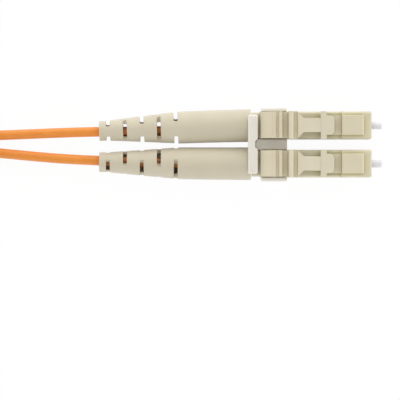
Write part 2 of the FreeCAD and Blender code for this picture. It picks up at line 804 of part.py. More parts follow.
def duplex_clip():
    """Clip: floor, outer walls with snap ribs, middle web with a tongue in the yoke's notch, rear strip."""
    owner = body("duplex_clip")
    bay = s.pitch / 2 + s.blockWide / 2 + s.clipGap
    web = s.pitch / 2 - s.blockWide / 2 - s.clipGap
    outer = bay + s.clipWall
    floor = s.clipFloor
    section = outline(
        sketch(owner, "YZ", "section"),
        [
            (-outer, 0),
            (outer, 0),
            (outer, s.clipWallHigh),
            (bay, s.clipWallHigh),
            (bay, floor),
            (web, floor),
            (web, s.webHigh),
            (-web, s.webHigh),
            (-web, floor),
            (-bay, floor),
            (-bay, s.clipWallHigh),
            (-outer, s.clipWallHigh),
        ],
    )
    pad(owner, section, "walls", s.clipLong)
    soften(
        owner,
        "Fillet",
        "wall_ends",
        as_size(0.3),
        lambda e: runs_along(e, 2) and abs(middle(e).y) > outer.value - 0.01,
    )
    soften(
        owner,
        "Fillet",
        "floor_edges",
        as_size(0.25),
        lambda e: runs_along(e, 0) and middle(e).z < 0.001,
    )
    soften(
        owner,
        "Fillet",
        "wall_tops",
        s.clipWallRound,
        lambda e: runs_along(e, 0) and middle(e).z > s.clipWallHigh.value - 0.001,
    )
    rear_web = outline(
        sketch(owner, "XY", "rear_web_plan"),
        [
            (-s.clipLong / 2 + 0.1, -web),
            (-s.clipLong / 2 + 0.1, web),
            (-s.clipLong / 2 - s.webRear, web),
            (-s.clipLong / 2 - s.webRear, -web),
        ],
    )
    pad(owner, rear_web, "rear_web", s.webHigh - 0.15, "One side")
    tongue = s.yokeWaist / 2 - s.notchFit
    notch_tongue = outline(
        sketch(owner, "XY", "notch_tongue_plan"),
        [
            (-s.clipLong / 2, -tongue),
            (-s.clipLong / 2, tongue),
            (-s.yokeAt, tongue),
            (-s.yokeAt - s.webRear, tongue - s.yokeNotch),
            (-s.yokeAt - s.webRear, -tongue + s.yokeNotch),
            (-s.yokeAt, -tongue),
        ],
    )
    pad(owner, notch_tongue, "notch_tongue", s.webHigh - 0.15, "One side")
    strip = outline(
        sketch(owner, "XY", "strip_plan"),
        [
            (-s.clipLong / 2 + 0.1, -s.tailWide / 2),
            (-s.clipLong / 2 + 0.1, s.tailWide / 2),
            (-s.clipLong / 2 - s.tailLong, s.tailWide / 2),
            (-s.clipLong / 2 - s.tailLong, -s.tailWide / 2),
        ],
    )
    pad(owner, strip, "strip", s.clipFloor, "One side")
    stem_gap = s.yokeStem / 2 + s.play
    slot = outline(
        sketch(owner, "XY", "stem_slot_plan"),
        [
            (-s.yokeAt - s.webRear - s.play, -stem_gap),
            (-s.yokeAt - s.webRear - s.play, stem_gap),
            (-s.yokeAt - s.yokeWall - s.play, stem_gap),
            (-s.yokeAt - s.yokeWall - s.play, -stem_gap),
        ],
    )
    pocket(owner, slot, "stem_slot", s.clipFloor * 3)
    low, high = s.axisHigh + s.grooveHigh - 0.35 + s.clipGap, s.axisHigh + s.grooveHigh + 0.35 - s.clipGap
    for name, way in (("left", 1), ("right", -1)):
        rib = outline(
            sketch(owner, "YZ", f"{name}_rib_end"),
            [
                ((bay + 0.1) * way, low),
                ((bay - s.grooveDeep) * way, low + 0.1),
                ((bay - s.grooveDeep) * way, high - 0.1),
                ((bay + 0.1) * way, high),
            ],
        )
        pad(owner, rib, f"{name}_rib", s.grooveLong)
    return owner


def retaining_yoke():
    """White bar that drops in behind the blocks: two rounded lobes, saddles on the necks, one stem."""
    owner = body("retaining_yoke")
    front = -s.yokeAt
    rear = -s.yokeAt - s.yokeLong
    wall = -s.yokeAt - s.yokeWall
    neck_top = s.axisHigh + s.neckHigh + s.play
    side = outline(
        sketch(owner, "XZ", "side"),
        [
            (front, neck_top),
            (front, s.yokeHigh),
            (rear, s.yokeHigh),
            (rear, s.yokeHigh - s.yokeFlange - 0.1),
            (wall, s.yokeHigh - s.yokeFlange - 0.1),
            (wall, neck_top),
        ],
    )
    pad(owner, side, "bar", s.yokeWide)
    soften(
        owner,
        "Fillet",
        "bar_top",
        s.yokeRound,
        lambda e: runs_along(e, 1) and middle(e).z > s.yokeHigh.value - 0.001,
    )
    soften(
        owner,
        "Fillet",
        "bar_ends",
        s.yokeWall * 0.44,
        lambda e: runs_along(e, 2) and abs(middle(e).y) > s.yokeWide.value / 2 - 0.01,
    )
    waist = outline(
        sketch(owner, "XY", "waist_plan"),
        [
            (front + 1, -s.yokeWaist / 2 - 0.5),
            (front, -s.yokeWaist / 2),
            (front - s.yokeNotch, -s.yokeWaist / 2 + s.yokeNotch),
            (front - s.yokeNotch, s.yokeWaist / 2 - s.yokeNotch),
            (front, s.yokeWaist / 2),
            (front + 1, s.yokeWaist / 2 + 0.5),
        ],
    )
    pocket(owner, waist, "waist", 40)
    stem = outline(
        sketch(owner, "XY", "stem_plan", s.clipFloor * 0.3),
        [
            (front - s.webRear - 0.05, -s.yokeStem / 2),
            (front - s.webRear - 0.05, s.yokeStem / 2),
            (wall, s.yokeStem / 2),
            (wall, -s.yokeStem / 2),
        ],
    )
    pad(owner, stem, "stem", s.yokeHigh - s.clipFloor * 0.3 - 0.3, "One side")
    return owner


# ---- cord ----------------------------------------------------------------------------------------


def rounded_path(name, points):
    """Straight runs through points, joined by arcs as large as 0.45 of the shorter run allows."""
    points = [FreeCAD.Vector(*p) for p in points]
    edges, here = [], points[0]
    for before, corner, after in zip(points, points[1:], points[2:]):
        run_in, run_out = corner - before, after - corner
        turn = run_in.getAngle(run_out)
        reach = 0.45 * min(run_in.Length, run_out.Length)
        print(f"{name}: radius {reach / math.tan(turn / 2):.1f} mm, turn {math.degrees(turn):.1f} degrees")
        run_in.normalize()
        run_out.normalize()
        first, last = corner - run_in * reach, corner + run_out * reach
        bisector = run_out - run_in
        bisector.normalize()
        radius = reach / math.tan(turn / 2)
        centre = corner + bisector * math.hypot(radius, reach)
        inwards = corner - centre
        inwards.normalize()
        edges.append(Part.LineSegment(here, first).toShape())
        edges.append(Part.Arc(first, centre + inwards * radius, last).toShape())
        here = last
    edges.append(Part.LineSegment(here, points[-1]).toShape())
    return Part.Wire(edges)


def cord(tag, points):
    """One leg of cord as a round tube along its path."""
    path = rounded_path(f"cord_{tag}", points)
    heading = path.Edges[0].tangentAt(path.Edges[0].FirstParameter)
    ring = Part.Wire([Part.makeCircle(s.cordRadius.value, FreeCAD.Vector(*points[0]), heading)])
    tube = path.makePipeShell([ring], True, False)
    expected = math.pi * s.cordRadius.value**2 * path.Length
    print(f"cord_{tag}: length {path.Length:.2f} mm, volume {tube.Volume:.3f} of {expected:.3f}")
    item = doc.addObject("Part::Feature", f"cord_{tag}_tube")
    item.Shape = tube
    return item


def hank_tie():
    """Tie round the hank's waist: a flat band that lies on the surface under it."""
    name = "hank_tie"
    x = (-s.hankMiddle - s.tieLong / 2, -s.hankMiddle + s.tieLong / 2)
    half = s.hankWaist + s.slip
    top = s.tieThick + s.hankHigh + s.slip
    outer = box(f"{name}_outer", x, (-half - s.tieThick, half + s.tieThick), (0, top + s.tieThick))
    inner = box(f"{name}_inner", (x[0] - 1, x[1] + 1), (-half, half), (s.tieThick, top))
    return cut(name, outer, inner)


def cord_hank():
    """Outer shape of the folded cords: a loop at each end, drawn together and raised in the tie."""
    name = "cord_hank"
    owner = body(name)
    run = s.hankRun / 2
    tied = s.tieLong / 2
    shape = outline(
        sketch(owner, "XY", "plan"),
        [
            (-s.hankMiddle - run, -s.hankLoop),
            (-s.hankMiddle - tied, -s.hankWaist),
            (-s.hankMiddle + tied, -s.hankWaist),
            (-s.hankMiddle + run, -s.hankLoop),
            (-s.hankMiddle + run, s.hankLoop),
            (-s.hankMiddle + tied, s.hankWaist),
            (-s.hankMiddle - tied, s.hankWaist),
            (-s.hankMiddle - run, s.hankLoop),
        ],
    )
    pad(owner, shape, "runs", s.hankHigh, "One side")
    parts = [owner]
    for end, way in (("near", 1), ("far", -1)):
        loop = doc.addObject("Part::Cylinder", f"{name}_{end}")
        set_size(loop, "Radius", s.hankLoop)
        set_size(loop, "Height", s.hankHigh)
        parts.append(put(loop, -s.hankMiddle + run * way, 0, 0))
    x = (-s.hankMiddle - tied - s.slip, -s.hankMiddle + tied + s.slip)
    wide = (-s.hankWaist, s.hankWaist)
    parts.append(box(f"{name}_raised", x, wide, (s.tieThick, s.tieThick + s.hankHigh)))
    under = box(f"{name}_under", x, (-s.hankLoop, s.hankLoop), (-1, s.tieThick + s.slip))
    return cut(name, fuse(name, *parts), under)


# ---- assembly ------------------------------------------------------------------------------------

pieces = {}


def keep(label, item):
    """Makes an item a sub-part under the label that names its file."""
    item.Label = label
    pieces[label] = item


front_x = s.clipMiddle
boot_at = s.housingLong + s.blockLong + s.neckLong + s.bootGap
makers = (
    plug_housing,
    latch,
    ferrule,
    glass_fibre,
    ferrule_flange,
    fibre_buffer,
    rear_body,
    trigger,
    strength_yarn,
    crimp_sleeve,
)
for tag, way in (("a", 1), ("b", -1)):
    for maker in makers:
        item = maker(tag)
        put(item, front_x, s.pitch / 2 * way, s.axisHigh)
        keep(f"{maker.__name__}_{tag}", item)
    spring = ferrule_spring(tag)
    spring_at = front_x - s.seatAt + s.wireRadius + s.slip
    put(spring, spring_at, s.pitch / 2 * way, s.axisHigh, (0, 1, 0), 90)
    keep(f"ferrule_spring_{tag}", spring)

boot_frames = {}
for tag, way, lean, roll in (("a", 1, s.bootLeanA, s.bootRollA), ("b", -1, s.bootLeanB, s.bootRollB)):
    item = boot(tag)
    turn = FreeCAD.Rotation(FreeCAD.Vector(0, 0, 1), lean.value * way)
    turn = turn.multiply(FreeCAD.Rotation(FreeCAD.Vector(1, 0, 0), roll.value))
    base = FreeCAD.Vector(
        (front_x - boot_at).value, (s.pitch / 2 * way).value, s.axisHigh.value
    )
    item.Placement = FreeCAD.Placement(base, turn)
    boot_frames[tag] = item.Placement
    keep(f"boot_{tag}", item)

keep("duplex_clip", duplex_clip())
keep("retaining_yoke", retaining_yoke())

# Each leg starts in its boot, leaves the boot's tail straight and comes down to the hank.
cord_start = tube_end() - boot_at + 1.3
for tag, last in (("a", (-51.6, 1.32, 0.8)), ("b", (-51.6, -0.78, 0.8))):
    inside = boot_frames[tag].multVec(FreeCAD.Vector(-cord_start.value, 0, 0))
    outside = boot_frames[tag].multVec(FreeCAD.Vector(-s.bootLong.value - 1.2, 0, 0))
    keep(f"cord_{tag}", cord(tag, [tuple(inside), tuple(outside), last]))
keep("cord_hank", cord_hank())
keep("hank_tie", hank_tie())

doc.recompute()

# ---- checks and files ----------------------------------------------------------------------------

faults = [
    f"{item.Name}: {item.State}"
    for item in doc.Objects
    if {"Invalid", "Error"} & set(item.State)
]
for label, item in pieces.items():
    shape = item.Shape
    if shape.isNull() or not shape.isValid() or shape.Volume <= 0:
        faults.append(f"{label}: shape isn't a valid solid")
if faults:
    raise RuntimeError("\n".join(faults))

os.makedirs("parts", exist_ok=True)
for label, item in pieces.items():
    item.Shape.exportStep(f"parts/{label}.step")
    print(f"{label}: {len(item.Shape.Solids)} solid, {item.Shape.Volume:.3f} cubic mm")
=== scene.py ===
import json
import math

import bmesh
import bpy
import numpy as np
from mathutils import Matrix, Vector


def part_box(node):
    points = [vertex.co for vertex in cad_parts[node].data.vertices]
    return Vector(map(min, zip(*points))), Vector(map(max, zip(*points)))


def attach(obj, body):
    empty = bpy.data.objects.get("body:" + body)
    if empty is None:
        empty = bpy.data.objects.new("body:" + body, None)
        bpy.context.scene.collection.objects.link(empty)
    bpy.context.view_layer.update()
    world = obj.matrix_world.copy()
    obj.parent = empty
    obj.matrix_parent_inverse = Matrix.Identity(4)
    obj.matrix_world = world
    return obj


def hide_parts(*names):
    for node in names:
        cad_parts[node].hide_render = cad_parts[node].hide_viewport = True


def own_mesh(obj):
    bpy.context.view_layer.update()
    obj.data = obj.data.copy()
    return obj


# Duplex fibre connector: beige plugs in a clip, slotted boots, orange cords.
# The file works in metres; sizes in the dictionaries below are in millimetres.

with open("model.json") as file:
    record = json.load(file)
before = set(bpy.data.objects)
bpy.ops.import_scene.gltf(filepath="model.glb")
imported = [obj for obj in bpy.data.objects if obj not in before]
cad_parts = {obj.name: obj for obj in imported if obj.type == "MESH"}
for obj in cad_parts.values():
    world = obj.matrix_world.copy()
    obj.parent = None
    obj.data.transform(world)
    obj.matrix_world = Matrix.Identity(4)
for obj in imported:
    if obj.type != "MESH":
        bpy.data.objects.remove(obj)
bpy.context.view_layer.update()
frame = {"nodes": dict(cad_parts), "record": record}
nodes = frame["nodes"]
scene = bpy.context.scene
mm = 0.001
print("frame loaded:", len(nodes), "nodes")


# camera: straight above, a long lens

view = {
    "centre": (-12.09, -9.07, 2.75),  # what the middle of the picture looks at
    "width": 65.5,  # across the picture at the height of the fibres
    "lens": 250.0,
    "sensor": 36.0,
}

cameraData = bpy.data.cameras.new("camera")
cameraData.lens = view["lens"]
cameraData.sensor_width = view["sensor"]
away = view["width"] * view["lens"] / view["sensor"]
camera = bpy.data.objects.new("camera", cameraData)
camera.location = [v * mm for v in (view["centre"][0], view["centre"][1], view["centre"][2] + away)]
cameraData.clip_start = 0.01
cameraData.clip_end = 10.0
scene.collection.objects.link(camera)
scene.camera = camera
print("camera placed", round(away), "mm above the fibres")


# node trees


# Gives a socket a value, or links another socket to it.
def give(tree, socket, value):
    if isinstance(value, bpy.types.NodeSocket):
        tree.links.new(value, socket)
    else:
        socket.default_value = value


def node(tree, kind, inputs=None, **settings):
    made = tree.nodes.new("ShaderNode" + kind)
    for key, value in settings.items():
        setattr(made, key, value)
    for key, value in (inputs or {}).items():
        give(tree, made.inputs[key], value)
    return made


# A colour as written on screen, 0 to 255, as the linear colour that shaders take.
def tone(red, green, blue):
    parts = np.array([red, green, blue]) / 255
    linear = np.where(parts <= 0.04045, parts / 12.92, ((parts + 0.055) / 1.055) ** 2.4)
    return (*linear.tolist(), 1.0)


# A ramp between two colours over part of the range 0 to 1.
def ramp(tree, factor, low, high, start=0.35, end=0.65):
    made = node(tree, "ValToRGB", {"Fac": factor})
    for stop, place, colour in zip(made.color_ramp.elements, (start, end), (low, high)):
        stop.position = place
        stop.color = colour
    return made.outputs["Color"]


# Painted shade: darkens and tints a colour by ambient occlusion where other surfaces stand close round
# it (grooves, slots, the inside of a bore), in place of the shade and bounced light that fall there.
def paintedCreaseShade(tree, colour, paintedShade):
    reach = {"Distance": paintedShade["reach"] * mm}
    around = node(tree, "AmbientOcclusion", reach, samples=6).outputs["AO"]
    shadeTint = ramp(tree, around, tone(*paintedShade["shadeTint"]), (1.0, 1.0, 1.0, 1.0), *paintedShade["between"])
    both = {0: 1.0, 6: colour, 7: shadeTint}
    return node(tree, "Mix", both, data_type="RGBA", blend_type="MULTIPLY").outputs[2]


# Cloudy two-tone colour, grainy bump and uneven roughness: the base of every material here.
def finish(name, look):
    made = bpy.data.materials.new(name)
    made.use_nodes = True
    tree = made.node_tree
    shader = tree.nodes["Principled BSDF"]
    where = node(tree, "TexCoord").outputs["Object"]
    if "stretch" in look:
        where = node(tree, "Mapping", {"Vector": where, "Scale": look["stretch"]}).outputs["Vector"]
    coarse = {"Vector": where, "Scale": look.get("cloud", 300.0), "Detail": 3.0}
    fine = {"Vector": where, "Scale": look.get("grain", 9000.0), "Detail": 2.0}
    cloud, grain = (node(tree, "TexNoise", noise).outputs["Fac"] for noise in (coarse, fine))
    both = node(tree, "Math", {0: cloud, 1: grain}, operation="ADD").outputs[0]
    half = node(tree, "Math", {0: both, 1: 0.5}, operation="MULTIPLY").outputs[0]
    colour = ramp(tree, half, tone(*look["dark"]), tone(*look["light"]))
    # painted shade: where a look asks for it, the colour is darkened in grooves and gaps by ambient
    # occlusion
    if "paintedShade" in look:
        colour = paintedCreaseShade(tree, colour, look["paintedShade"])
    give(tree, shader.inputs["Base Color"], colour)
    rough, spread = look["rough"], look.get("spread", 0.06)
    span = {"Value": cloud, "To Min": rough - spread, "To Max": rough + spread}
    give(tree, shader.inputs["Roughness"], node(tree, "MapRange", span).outputs["Result"])
    bump = node(tree, "Bump", {
        "Strength": look.get("bump", 0.15),
        "Distance": look.get("deep", 0.02) * mm,
        "Height": grain,
    })
    give(tree, shader.inputs["Normal"], bump.outputs["Normal"])
    for key, value in look.get("sockets", {}).items():
        shader.inputs[key].default_value = value
    return made


# How far light goes into a plastic: its share, its spread in red, green and blue, its reach in metres.
def depth(weight, spread, reach):
    return {"Subsurface Weight": weight, "Subsurface Radius": spread, "Subsurface Scale": reach}


plasticDepth = depth(0.12, (1.0, 0.9, 0.7), 0.0004)

looks = {
    "housing_plastic": {
        "light": (219, 211, 184), "dark": (211, 203, 174), "rough": 0.42,
        # painted shade: a yellowish darkening in grooves and gaps, in place of the shade and warm
        # bounced light there
        "paintedShade": {"shadeTint": (232, 228, 180), "reach": 1.3, "between": (0.3, 0.9)},
        "sockets": plasticDepth,
    },
    "latch_plastic": {
        "light": (221, 213, 190), "dark": (213, 205, 180), "rough": 0.40,
        # painted shade: darkens the groove behind the root block and other tight spots on the latch
        "paintedShade": {"shadeTint": (205, 199, 160), "reach": 1.1, "between": (0.35, 0.78)},
        "sockets": plasticDepth,
    },
    "trigger_plastic": {
        "light": (219, 210, 184), "dark": (211, 201, 174), "rough": 0.42,
        "sockets": plasticDepth,
    },
    "rear_body_plastic": {
        "light": (217, 208, 183), "dark": (209, 200, 173), "rough": 0.42,
        "sockets": plasticDepth,
    },
    "clip_plastic": {
        "light": (244, 241, 234), "dark": (238, 234, 226), "rough": 0.40,
        "sockets": plasticDepth,
    },
    "yoke_plastic": {
        "light": (234, 229, 220), "dark": (226, 221, 211), "rough": 0.24, "bump": 0.05,
        "sockets": {
            **depth(0.4, (1.0, 0.95, 0.9), 0.0008),
            "Coat Weight": 0.3, "Coat Roughness": 0.12,
        },
    },
    "boot_elastomer": {
        "light": (210, 201, 178), "dark": (201, 192, 168), "rough": 0.56,
        "cloud": 160.0, "bump": 0.25,
        # painted shade and painted reflection: reddish brown inside the slots and bore, for the shade
        # there and the orange cord's bounced light
        "paintedShade": {"shadeTint": (198, 142, 114), "reach": 1.4, "between": (0.05, 0.45)},
        "sockets": {
            **depth(0.2, (1.0, 0.85, 0.6), 0.0005),
            "Sheen Weight": 0.5, "Sheen Roughness": 0.5,
        },
    },
    "ferrule_ceramic": {
        "light": (238, 236, 241), "dark": (233, 231, 236), "rough": 0.34,
        "spread": 0.03, "bump": 0.03, "sockets": depth(0.25, (1.0, 1.0, 1.0), 0.0003),
    },
    "fibre_glass": {
        "light": (215, 225, 232), "dark": (205, 216, 224), "rough": 0.06,
        "spread": 0.02, "bump": 0.02,
        "sockets": {"Transmission Weight": 0.7, "IOR": 1.46},
    },
    "flange_metal": {
        "light": (206, 202, 194), "dark": (188, 183, 173), "rough": 0.3, "stretch": (0.2, 1.0, 1.0),
        "sockets": {"Metallic": 1.0},
    },
    "buffer_plastic": {
        "light": (238, 235, 228), "dark": (228, 225, 217), "rough": 0.4, "grain": 6000.0,
    },
    "spring_steel": {
        "light": (170, 170, 174), "dark": (145, 145, 150), "rough": 0.26, "cloud": 900.0,
        "sockets": {"Metallic": 1.0},
    },
    "aramid_yarn": {
        "light": (228, 196, 98), "dark": (196, 158, 62), "rough": 0.6, "stretch": (0.04, 1.0, 1.0),
        "grain": 12000.0, "bump": 0.8, "deep": 0.05,
        "sockets": {"Sheen Weight": 0.4},
    },
    "crimp_metal": {
        "light": (196, 196, 199), "dark": (172, 172, 176), "rough": 0.36, "stretch": (1.0, 0.3, 0.3),
        "bump": 0.4, "sockets": {"Metallic": 1.0},
    },
    "cord_jacket": {
        "light": (238, 151, 58), "dark": (231, 141, 50), "rough": 0.38,
        "cloud": 500.0, "bump": 0.2,
        # painted shade: darker where the cord lies against other cords and inside the boots
        "paintedShade": {"shadeTint": (124, 72, 92), "reach": 1.4, "between": (0.08, 0.4)},
        "sockets": depth(0.15, (1.0, 0.5, 0.2), 0.0004),
    },
    "tie_plastic": {
        "light": (52, 52, 54), "dark": (24, 24, 26), "rough": 0.85,
        "cloud": 1500.0, "grain": 5000.0, "bump": 1.0, "deep": 0.12,
        "sockets": {"Sheen Weight": 0.5, "Sheen Roughness": 0.4},
    },
}
materials = {name: finish(name, look) for name, look in looks.items()}
print("materials made:", len(materials))

# The inner pieces keep their CAD forms and take only a finish.
for piece in frame["record"]["subparts"]:
    name = piece["material_slot"]
    if name in materials:
        data = nodes[piece["node"]].data
        data.materials.clear()
        data.materials.append(materials[name])


# A finished object: its mesh, its material, its body and the CAD nodes that it stands for.
def addPiece(name, data, slot, body, replaced):
    piece = bpy.data.objects.new(name, data)
    scene.collection.objects.link(piece)
    data.materials.append(materials[slot])
    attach(piece, body)
    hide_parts(*replaced)
    return piece


def shadeSmooth(data, angle):
    data.polygons.foreach_set("use_smooth", np.ones(len(data.polygons), dtype=bool))
    data.set_sharp_from_angle(angle=math.radians(angle))


# A closed tube from rows of rings, in millimetres, with a flat face at each end.
def tubeMesh(name, rings, angle):
    rows, columns = rings.shape[:2]
    corner = np.arange(rows * columns).reshape(rows, columns)
    following = np.roll(corner, -1, axis=1)
    quads = np.stack([corner[:-1], corner[1:], following[1:], following[:-1]], axis=-1)
    faces = quads.reshape(-1, 4).tolist() + [corner[0].tolist(), corner[-1][::-1].tolist()]
    data = bpy.data.meshes.new(name)
    data.from_pydata((rings.reshape(-1, 3) * mm).tolist(), [], faces)
    work = bmesh.new()
    work.from_mesh(data)
    bmesh.ops.recalc_face_normals(work, faces=work.faces)
    work.to_mesh(data)
    work.free()
    shadeSmooth(data, angle)
    return data


# moulded pieces: the CAD forms with their edges rounded as a mould leaves them

moulded = {
    "plug_housing": {"round": 0.07, "slot": "housing_plastic", "body": "connector"},
    "rear_body": {"round": 0.06, "slot": "rear_body_plastic", "body": "connector"},
    "latch": {"round": 0.06, "slot": "latch_plastic", "body": "latch_arm"},
    "trigger": {"round": 0.07, "slot": "trigger_plastic", "body": "trigger_lever"},
    "duplex_clip": {"round": 0.04, "slot": "clip_plastic", "body": "connector"},
    "retaining_yoke": {"round": 0.12, "slot": "yoke_plastic", "body": "connector"},
}


cleaning = {
    "joined": 0.002,
    "flat": 1.0,  # degrees, as the next two
    "smooth": 30,
    "rounded": 40,
    "segments": 3,
}


# A copy of a CAD mesh with its corners joined and its flat facets made whole.
def joinedCopy(source, name):
    work = bmesh.new()
    work.from_mesh(nodes[source].data)
    bmesh.ops.remove_doubles(work, verts=work.verts, dist=cleaning["joined"] * mm)
    flat = math.radians(cleaning["flat"])
    bmesh.ops.dissolve_limit(work, angle_limit=flat, verts=work.verts, edges=work.edges)
    bmesh.ops.recalc_face_normals(work, faces=work.faces)
    work.verts.index_update()
    points = [v.co[:] for v in work.verts]
    faces = [[v.index for v in f.verts] for f in work.faces]
    work.free()
    data = bpy.data.meshes.new(name)
    data.from_pydata(points, [], faces)
    return data


for kind, look in moulded.items():
    for tag in ("_a", "_b") if kind + "_a" in nodes else ("",):
        data = joinedCopy(kind + tag, kind + tag + "_moulded")
        body = look["body"] if look["body"] == "connector" else look["body"] + tag
        piece = addPiece(data.name, data, look["slot"], body, [kind + tag])
        shadeSmooth(data, cleaning["smooth"])
        edge = piece.modifiers.new("edges", "BEVEL")
        edge.width = look["round"] * mm
        edge.segments = cleaning["segments"]
        edge.limit_method = "ANGLE"
        edge.angle_limit = math.radians(cleaning["rounded"])
        edge.harden_normals = True
        edge.use_clamp_overlap = True
print("moulded pieces finished")


# springs: round wire in four turns, wound in the box of each CAD spring

springs = {
    "turns": 4.0,
    "wire": 0.14,  # radius of the wire
    "coilSteps": 161,
    "ringSteps": 12,
    "smooth": 50,
}


# A ring of wire carried along a helix: x grows evenly while y and z go round the ferrule's axis.
def springMesh(name, box):
    low, high = (np.array(v) / mm for v in box)
    middle, wire = (low + high) / 2, springs["wire"]
    share = np.linspace(0, 1, springs["coilSteps"])
    angle = share * springs["turns"] * 2 * math.pi
    outward = np.stack([np.zeros_like(angle), np.cos(angle), np.sin(angle)], axis=1)
    line = outward * (middle[2] - low[2] - wire)
    line[:, 0] = (share - 0.5) * (high[0] - low[0] - 2 * wire)
    step = np.gradient(line, axis=0)
    across = np.cross(step / np.linalg.norm(step, axis=1, keepdims=True), outward)
    ring = np.arange(springs["ringSteps"])[None, :, None] * 2 * math.pi / springs["ringSteps"]
    section = np.cos(ring) * outward[:, None, :] + np.sin(ring) * across[:, None, :]
    return tubeMesh(name, middle + line[:, None, :] + wire * section, springs["smooth"])


for tag in "ab":
    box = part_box("ferrule_spring_" + tag)
    coil = springMesh("springCoil_" + tag, box)
    coil = addPiece(coil.name, coil, "spring_steel", "connector", ["ferrule_spring_" + tag])
    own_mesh(coil)
print("springs wound")


# boots: a tapered sleeve with five pairs of slots, each pair a quarter turn from the last

boots = {
    "long": 24.85,
    "radius": 2.68,
    "straight": 11.6,
    "neck": 2.62,  # radius where the taper starts
    "collar": 1.1,
    "tail": 1.62,
    "edge": 0.13,
    "bore": [(0.0, 1.85), (8.1, 1.85), (23.7, 1.25), (23.75, 0.87), (24.85, 0.87)],
    "slots": 5,
    "slotFirst": 12.3,
    "slotPitch": 2.775,
    "slotWide": 0.66,
    "slotShare": 0.47,  # the slot's floor over the radius there
    "slotRound": 0.2,
    "lip": 0.05,
    "lipFade": 0.3,  # the lip fades out where the slot is this shallow
    "blend": 0.4,  # half the length over which the profile is averaged
    "tiny": 0.003,  # keeps a slot's end rows off the rows of its lip
    "columns": 288,
    "joined": 0.0008,
    "smooth": 35,
    # lean, roll and bend in degrees
    "a": {"front": (-3.74, 3.125, 2.75), "lean": 2.1, "roll": 7.0, "bend": 0.9},
    "b": {"front": (-3.74, -3.125, 2.75), "lean": -0.6, "roll": -42.0, "bend": 0.5},
}


# Outside radius at distances behind the front end: the profile's mean at three near places, and a
# quarter circle at each end.
def bootRadius(behind):
    stops = [0, boots["straight"], boots["long"] - boots["collar"], boots["long"]]
    radii = [boots["radius"], boots["neck"], boots["tail"], boots["tail"]]
    near = (-boots["blend"], 0.0, boots["blend"])
    radius = np.mean([np.interp(behind + v, stops, radii) for v in near], axis=0)
    inward = np.minimum(behind, boots["long"] - behind)
    short = np.clip(boots["edge"] - inward, 0, boots["edge"])
    return radius - (boots["edge"] - np.sqrt(boots["edge"] ** 2 - short**2))


# Distances along the boot where the grid has a row, and the slot that each row is in, or -1.
def bootRows():
    half, lip, end = boots["slotWide"] / 2, boots["lip"], boots["long"]
    edge = boots["edge"] * (1 - np.cos(np.linspace(0, math.pi / 2, 5)))
    rows = [(u, -1) for u in edge]
    rows += [(u, -1) for u in np.linspace(0.6, boots["slotFirst"] - half - 0.3, 20)]
    for number in range(boots["slots"]):
        middle = boots["slotFirst"] + number * boots["slotPitch"]
        rows += [(middle - half - lip * k, -1) for k in (1.0, 0.5, 0.15, 0.0)]
        inside = np.sin(np.linspace(-math.pi / 2, math.pi / 2, 13)) * (half - boots["tiny"])
        rows += [(middle + v, number) for v in inside]
        rows += [(middle + half + lip * k, -1) for k in (0.0, 0.15, 0.5, 1.0)]
        if number < boots["slots"] - 1:
            between = np.linspace(half + 0.25, boots["slotPitch"] - half - 0.25, 4)
            rows += [(middle + v, -1) for v in between]
    rows += [(end - u, -1) for u in (boots["collar"] - 0.15, 0.6, 0.35)]
    rows += [(end - u, -1) for u in edge[::-1]]
    return np.array([u for u, _ in rows]), np.array([k for _, k in rows])


